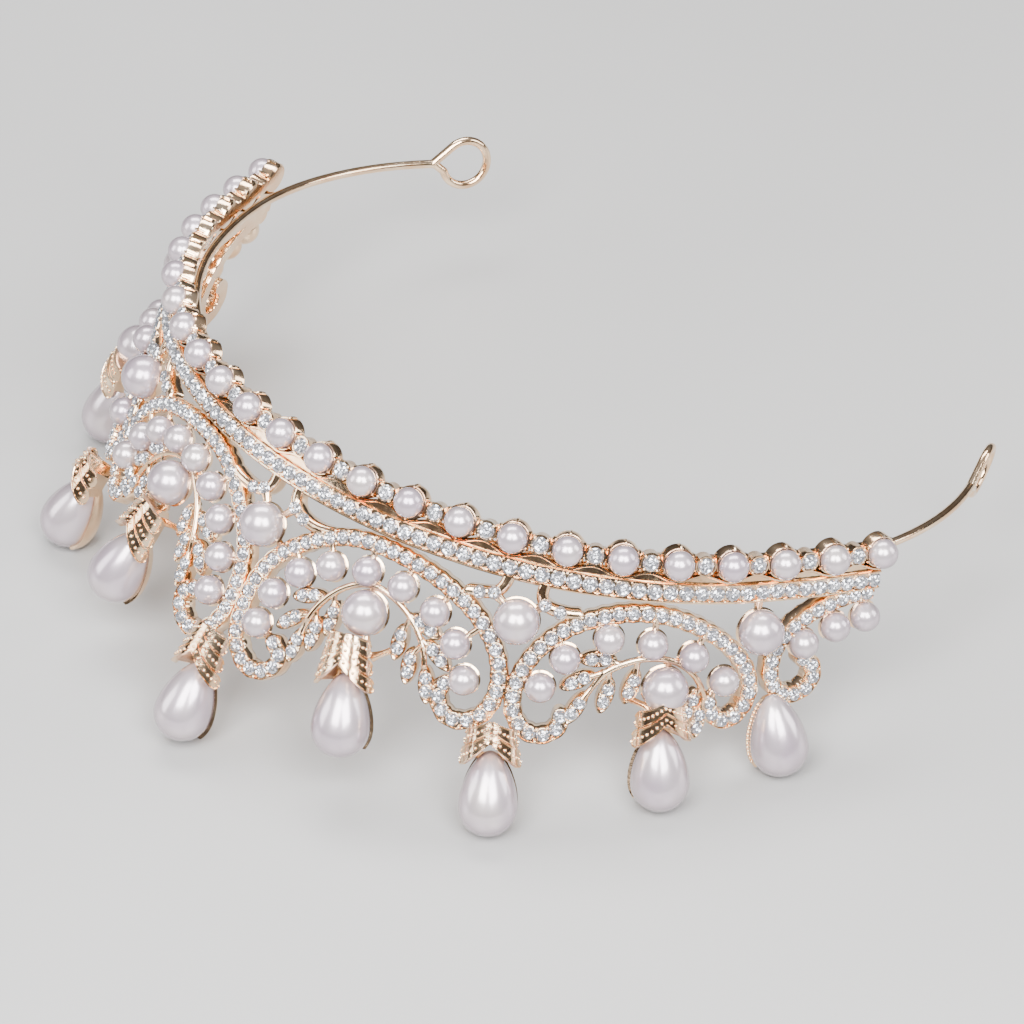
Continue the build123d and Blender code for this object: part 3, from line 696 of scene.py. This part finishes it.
def drop_outline():
    """Profile of a drop as (radius, height), from its top to its tip."""
    heights = np.concatenate([WIDEST * np.linspace(0, 1, 26) ** 1.7,
                              WIDEST - DROP_RADIUS * np.sin(np.linspace(0, math.pi / 2, 20)[1:])])
    return np.stack([drop_radius(heights), heights], -1)


CHEVRON_EDGE = 1.5        # height of the lowest chevron's inner peak above the drop
CHEVRON_PITCH = 1.55
CHEVRON_ARC = 3.6         # radius used to unroll the cap
CHEVRON_END = 5.3         # reach of the chevrons round the cap from its front
# Fall of each edge line from its peak to the sides, from the lowest up, and height of the flat top
CAP_FALLS = {2: (3.9, 2.6, 1.5), 3: (4.1, 3.3, 2.4, 1.2)}
CAP_TOP = {2: 4.5, 3: 5.7}
CAP_HEIGHTS, CAP_RADII = (-6.0, -3.5, -1.0, 1.5, 4.0, 6.5), (4.4, 4.3, 4.0, 3.65, 3.3, 3.0)
CAP_FLATTEN = 0.92        # depth of the cap as a share of its width
CAP_BODY = 3.6            # reach of the solid body behind the chevrons round the cap
CHEVRON_PROFILE = [(-1.0, -0.55), (-1.0, 0.06), (-0.95, 0.15), (-0.85, 0.15), (-0.78, 0.0), (0.78, 0.0),
                   (0.85, 0.15), (0.95, 0.15), (1.0, 0.06), (1.0, -0.55)]
CHEVRON_BEAD = 0.24
CHEVRON_BEAD_PITCH = 0.66


def cap_point(x, height, lift):
    """A point of the cap: x round it, height above the drop's top, lift off its surface."""
    radius = np.interp(height, CAP_HEIGHTS, CAP_RADII) + lift
    turn = x / CHEVRON_ARC
    return np.stack([np.sin(turn) * radius, height, np.cos(turn) * radius * CAP_FLATTEN], -1)


def cap_edge(x, falls, index):
    """Height of an edge line between chevrons, x round the cap from its front."""
    rise = np.sqrt(np.sin(x / CHEVRON_ARC) ** 2 + 0.003) - 0.055
    return CHEVRON_EDGE + index * CHEVRON_PITCH - falls[index] * rise


def chevron_cap(metal, spot, count):
    """Nested inverted-V bands round the front of the drop, each with raised edges and beads."""
    top, falls = CAP_TOP[count], CAP_FALLS[count]
    for index in range(len(falls) - 1):
        end = CHEVRON_END - 0.15 * index
        x = end * np.sin(np.linspace(-math.pi / 2, math.pi / 2, 81))
        low, high = cap_edge(x, falls, index), cap_edge(x, falls, index + 1)
        middle, half = (low + high) / 2, (high - low) / 2
        rounding = np.clip((np.abs(x) - end + 1.0) / 1.0, 0, 1)
        half = half * np.sqrt(1 - 0.9 * rounding ** 2)
        step = 0.12 * (len(falls) - 2 - index)
        rows = []
        for across, lift in CHEVRON_PROFILE:
            height = np.minimum(middle + across * half, top - 0.03 * (1 - across))
            rows.append(cap_point(x, height, lift + step))
        metal.grid(put(np.stack(rows, 1), spot), closed_b=True, caps=True)
        for k in range(int((end - 0.6) / CHEVRON_BEAD_PITCH) + 1):
            for side in ((1,) if k == 0 else (1, -1)):
                at = np.array(side * CHEVRON_BEAD_PITCH * k)
                height = float(cap_edge(at, falls, index) + cap_edge(at, falls, index + 1)) / 2
                if height < top - 0.4:
                    ball(metal, put(cap_point(at, height, step - 0.02), spot), CHEVRON_BEAD, 6, 12)
    x = np.linspace(-CAP_BODY, CAP_BODY, 25)
    front = []
    for share in np.linspace(0.0, 1.0, 6):
        low = cap_edge(x, falls, 0)
        high = np.minimum(cap_edge(x, falls, len(falls) - 1), top)
        front.append(cap_point(x, low + 0.3 + share * (high - low - 0.4), -0.3))
    back = []
    for row, drop in ((front[-1], 1.0), (front[0], 0.0)):
        back.append(np.stack([row[:, 0] * 0.55, row[:, 1] - drop, np.full(len(x), CAP_BACK)], -1))
    metal.grid(put(np.stack(front + back, 1), spot), closed_b=True, caps=True)


def back_cup(metal, spot, beaded):
    """The shell behind a drop, with a rim at its sides that may carry a row of fine beads."""
    heights = np.linspace(-0.4, -CUP_LENGTH, 30)
    inner = np.stack([drop_radius(heights, 0.02), heights], -1)
    outer = np.stack([drop_radius(heights, CUP_WALL), heights], -1)
    profile = np.concatenate([inner, outer[::-1]])
    angle = np.linspace(CUP_OPENING, 2 * math.pi - CUP_OPENING, 31)
    radius = profile[:, 0]
    rows = [np.stack([math.sin(a) * radius, profile[:, 1], math.cos(a) * radius], -1) for a in angle]
    metal.grid(put(np.stack(rows), spot), closed_b=True)
    for end in (rows[0], rows[-1]):
        edge = put(end, spot)
        metal.grid(np.stack([edge[:30], edge[30:][::-1]]))
    if beaded:
        for height in np.arange(-1.2, -CUP_LENGTH + 0.6, -0.55):
            reach = float(drop_radius(np.array(height), 0.3))
            for side in (-1, 1):
                ball(metal, put(np.array([side * math.sin(CUP_OPENING) * reach, height,
                                          math.cos(CUP_OPENING) * reach + 0.05]), spot), 0.26, 6, 10)


for station, (_, _, _, _, chevrons) in DROPS.items():
    for word, mirror in SIDES[:1] if station == "centre" else SIDES:
        label = station if station == "centre" else f"{station}_{word}"
        spot = drop_spot(station, mirror)
        metal, bead_shape = Shape(), Shape()
        lathe(bead_shape, drop_outline(), spot, 48, axis="up")
        finish(bead_shape, f"drop_{label}_bead", [f"drop_pearl_{label}"], PEARL, 180)
        back_cup(metal, spot, chevrons == 0)
        if chevrons:
            chevron_cap(metal, spot, chevrons)
        finish(metal, f"drop_{label}_setting", [f"drop_setting_{label}"], GOLD)


# ---- the head band ----

def band_ribbon(shape, start, end, profile, step=0.4, wave=None):
    """A strip along the pearl row: profile points are (h, off, share of the wave)."""
    s = np.linspace(start, end, int((end - start) / step) + 1)
    rows = []
    for h, off, share in profile:
        u, d = on_band(s, h + (share * wave(s) if wave else 0.0))
        rows.append(on_sheet(u, d, off))
    shape.grid(np.stack(rows, 1), closed_b=True, caps=True)


RIM_WAVE = 0.52


def rim_wave(s):
    """How far the scalloped rim stands from its mean: out round pearls, in at the stones."""
    return RIM_WAVE * np.cos(2 * math.pi * (s - PEARL_PITCH / 2) / PEARL_PITCH)


SEAM_S = 63.1
CHANNEL_STONES = 81
CHANNEL_PITCH = 2.2
CUP_STONE, CHANNEL_STONE = 1.2, 1.1
WEB = [(-0.9, METAL_INNER, 0), (-0.9, -1.7, 0), (1.0, -1.7, 0), (1.0, METAL_INNER, 0)]
RAIL = [(2.75, METAL_INNER, 0), (2.75, -0.35, 0), (2.85, -0.2, 0), (3.0, -0.2, 0), (3.1, -0.6, 0),
        (5.15, -0.6, 0), (5.22, -0.2, 0), (5.38, -0.2, 0), (5.44, -0.4, 0), (5.54, -0.6, 0),
        (5.68, -0.62, 0), (5.72, -0.75, 0), (5.72, METAL_INNER, 0)]
RIM = [(1.85, METAL_INNER, 1), (1.85, -0.65, 1), (1.93, -0.45, 1), (2.15, -0.45, 1), (2.25, -0.6, 1),
       (2.3, -0.85, 0.9), (2.85, -0.85, 0), (2.85, METAL_INNER, 0)]
PEARL_CUP = [(0.3, METAL_INNER), (2.15, METAL_INNER), (2.38, METAL_INNER + 0.25), (2.38, -0.85),
             (2.3, -0.6), (2.16, -0.6), (2.0, -0.9), (0.3, -2.2)]
COLLET = [(0.3, METAL_INNER), (1.3, METAL_INNER), (1.42, METAL_INNER + 0.15), (1.42, -0.7), (1.5, -0.5),
          (1.46, -0.35), (1.28, -0.35), (1.18, -0.6), (1.12, -0.85), (0.3, -0.9)]
cup_s = (np.arange(BAND_PEARLS - 1) - (BAND_PEARLS - 2) / 2) * PEARL_PITCH
channel_s = (np.arange(CHANNEL_STONES) - (CHANNEL_STONES - 1) / 2) * CHANNEL_PITCH
for node, start, end in (("rear_gallery_left", -BAND_REACH, -SEAM_S), ("front_gallery", -SEAM_S, SEAM_S),
                         ("rear_gallery_right", SEAM_S, BAND_REACH)):
    metal = Shape()
    band_ribbon(metal, start, end, WEB)
    band_ribbon(metal, start, end, RAIL)
    band_ribbon(metal, start, end, RIM, 0.25, rim_wave)
    for s in pearl_s[(pearl_s > start) & (pearl_s < end)]:
        u, d = on_band(s, 0.0)
        spot = place(u, d, 0.0, band_slope(u))
        lathe(metal, PEARL_CUP, spot, 32)
        for turn in range(6):
            angle = turn * math.pi / 3 + math.pi / 6
            claw = np.array([(math.cos(angle) * r, math.sin(angle) * r, off)
                             for r, off in ((2.42, -1.9), (2.46, -1.2), (2.4, -0.7), (2.22, -0.35))])
            tube(metal, put(claw, spot), (0.2, 0.24, 0.24, 0.16), 8)
    for s in cup_s[(cup_s > start) & (cup_s < end)]:
        u, d = on_band(s, 0.1)
        spot = place(u, d, 0.0, band_slope(u))
        lathe(metal, COLLET, spot, 28)
        for corner in range(4):
            angle = math.pi / 4 + corner * math.pi / 2
            ball(metal, put(np.array([1.27 * math.cos(angle), 1.27 * math.sin(angle), -0.33]), spot),
                 0.22, 6, 10)
    for s in channel_s[(channel_s > start) & (channel_s < end - 1)] + CHANNEL_PITCH / 2:
        for h in (3.05, 5.2):
            bead(metal, *on_band(s, h), -0.2, 0.2)
    finish(metal, f"{node}_metal", [node], GOLD)

crystals = Shape()
for s in cup_s:
    u, d = on_band(s, 0.1)
    stone(crystals, place(u, d, -0.7), CUP_STONE)
finish(crystals, "band_cup_crystals", ["band_cup_stones"], CRYSTAL, 1)
crystals = Shape()
for s in channel_s:
    u, d = on_band(s, 4.12)
    stone(crystals, place(u, d, -0.6), CHANNEL_STONE)
finish(crystals, "channel_crystals", ["channel_stones"], CRYSTAL, 1)
beads = Shape()
for s in pearl_s:
    ball(beads, on_sheet(*on_band(s, 0.0), 0.0), BAND_PEARL, 18, 30)
finish(beads, "band_pearl_beads", ["band_pearls"], PEARL, 180)

# The head wire: inside the band, then free to a twisted eye at each side
TILT = math.atan(BAND_RISE)
WIRE_OFF = METAL_INNER - WIRE_RADIUS - 0.02
WIRE_ROUTE = [(58.4, 49.0, 0.0), (59.4, 55.4, 0.0), (59.5, 61.8, 0.0), (58.8, 68.2, 0.0),
              (57.3, 74.5, 0.0)]
EYE_ALONG = np.array([math.cos(EYE_AXIS), math.sin(EYE_AXIS), 0.0])
EYE_ACROSS = np.array([-math.sin(EYE_AXIS) * math.cos(EYE_TWIST),
                       math.cos(EYE_AXIS) * math.cos(EYE_TWIST), math.sin(EYE_TWIST)])


def wire_plane(points):
    """Points of the wire's own plane (x, y, height off it) carried into the upright frame."""
    x, y, w = np.moveaxis(np.asarray(points, float), -1, 0)
    w = w - WIRE_DROP
    return np.stack([x, y * math.cos(TILT) - w * math.sin(TILT),
                     y * math.sin(TILT) + w * math.cos(TILT)], -1)


contacts = on_sheet(np.linspace(0, WIRE_LEAVES, 11), 0.0, WIRE_OFF)
half = [(x, y / math.cos(TILT), 0.0) for x, y, _ in contacts] + WIRE_ROUTE + [(*EYE_NECK, 0.0)]
route = [(-x, y, w) for x, y, w in half[:0:-1]] + half
metal = Shape()
tube(metal, wire_plane(spline(route, 0.6)[0]), WIRE_RADIUS, 14)
open_angle = math.acos(EYE_RADIUS / EYE_REACH)
turn = np.linspace(math.pi - open_angle, EYE_GAP - math.pi, 60)
bow = np.stack([EYE_REACH + EYE_RADIUS * np.cos(turn), EYE_RADIUS * np.sin(turn)], -1)
neck = np.linspace(0, 1, 8)[:, None]
bow = np.concatenate([bow[0] * neck[:-1], bow, bow[-1] + (np.array([0.2, 0.1]) - bow[-1]) * neck[1:]])
for mirror in (1, -1):
    eye = np.array([*EYE_NECK, 0.0]) + bow[:, :1] * EYE_ALONG + bow[:, 1:] * EYE_ACROSS
    eye = wire_plane(eye) * (mirror, 1, 1)
    tube(metal, eye, WIRE_RADIUS, 14)
    ball(metal, eye[0], WIRE_RADIUS * 1.04, 10, 16)
finish(metal, "head_wire_metal", ["head_wire"], GOLD)


# ---- floor, light and camera ----

def floor():
    """A pale, slightly mottled satin table top."""
    made, nodes, links, shader = material("pale_floor", 0.0, 0.35)
    tone = noise(nodes, links, 6, 3.0)
    colours = ramp(nodes, links, tone.outputs["Fac"], 0.3, 0.7,
                   [(0.0, (0.34, 0.335, 0.33)), (1.0, (0.38, 0.375, 0.37))])
    links.new(colours.outputs["Color"], shader.inputs["Base Color"])
    bpy.ops.mesh.primitive_plane_add(size=3.0, location=(0, 0, 0))
    plane = bpy.context.object
    plane.name = "floor"
    plane.data.materials.append(made)


LAMP_TARGET = np.array([0.0, -0.01, 0.02])


def lamp(name, azimuth, elevation, distance, size, power):
    """A soft box that faces the tiara from a direction."""
    data = bpy.data.lights.new(name, "AREA")
    data.shape = "RECTANGLE"
    data.size, data.size_y = size
    data.energy = power
    lamp_object = bpy.data.objects.new(name, data)
    bpy.context.collection.objects.link(lamp_object)
    a, e = math.radians(azimuth), math.radians(elevation)
    offset = np.array([math.sin(a) * math.cos(e), -math.cos(a) * math.cos(e), math.sin(e)])
    lamp_object.location = LAMP_TARGET + distance * offset
    lamp_object.rotation_euler = mathutils.Vector(offset).to_track_quat("Z", "Y").to_euler()


floor()
AZIMUTH = 46.39
lamp("softbox_left", AZIMUTH - 27, 50, 0.75, (0.36, 0.46), 11.5)
lamp("softbox_right", AZIMUTH + 25, 46, 0.75, (0.36, 0.46), 11.5)
lamp("softbox_side_left", AZIMUTH - 88, 24, 0.7, (0.3, 0.4), 2.6)
lamp("softbox_side_right", AZIMUTH + 88, 24, 0.7, (0.3, 0.4), 2.6)
lamp("softbox_back", AZIMUTH + 180, 62, 0.8, (0.7, 0.3), 8)
world = bpy.data.worlds.new("studio")
world.use_nodes = True
sky_nodes, sky_links = world.node_tree.nodes, world.node_tree.links
direction = sky_nodes.new("ShaderNodeTexCoord")
parts = sky_nodes.new("ShaderNodeSeparateXYZ")
sky_links.new(direction.outputs["Generated"], parts.inputs["Vector"])
sky = ramp(sky_nodes, sky_links, parts.outputs["Z"], 0.0, 1.0,
           [(0.0, (0.07, 0.07, 0.075)), (0.35, (0.18, 0.18, 0.19)), (0.7, (0.42, 0.43, 0.46)),
            (1.0, (0.60, 0.62, 0.66))])
sky_links.new(sky.outputs["Color"], sky_nodes["Background"].inputs["Color"])
sky_nodes["Background"].inputs["Strength"].default_value = 0.7
bpy.context.scene.world = world

FOCAL = 5.3984375         # focal length in image widths
SENSOR_WIDTH = 36.0
DISTANCE = 806.0
CAMERA_ELEVATION, CAMERA_ROLL = math.radians(40.24), math.radians(-1.47)
TARGET = FRONT + np.array([-1.41, 41.39, -37.92])
turn = math.radians(AZIMUTH)
back = np.array([math.sin(turn) * math.cos(CAMERA_ELEVATION), -math.cos(turn) * math.cos(CAMERA_ELEVATION),
                 math.sin(CAMERA_ELEVATION)])
right = np.array([math.cos(turn), math.sin(turn), 0.0])
up = np.cross(back, right)
right, up = (math.cos(CAMERA_ROLL) * right + math.sin(CAMERA_ROLL) * up,
             math.cos(CAMERA_ROLL) * up - math.sin(CAMERA_ROLL) * right)
lens = bpy.data.cameras.new("camera")
lens.sensor_width = SENSOR_WIDTH
lens.lens = FOCAL * SENSOR_WIDTH
camera = bpy.data.objects.new("camera", lens)
bpy.context.collection.objects.link(camera)
matrix = mathutils.Matrix(np.stack([right, up, back], 1).tolist()).to_4x4()
matrix.translation = ((TARGET + DISTANCE * back) * MM).tolist()
camera.matrix_world = matrix
bpy.context.scene.camera = camera
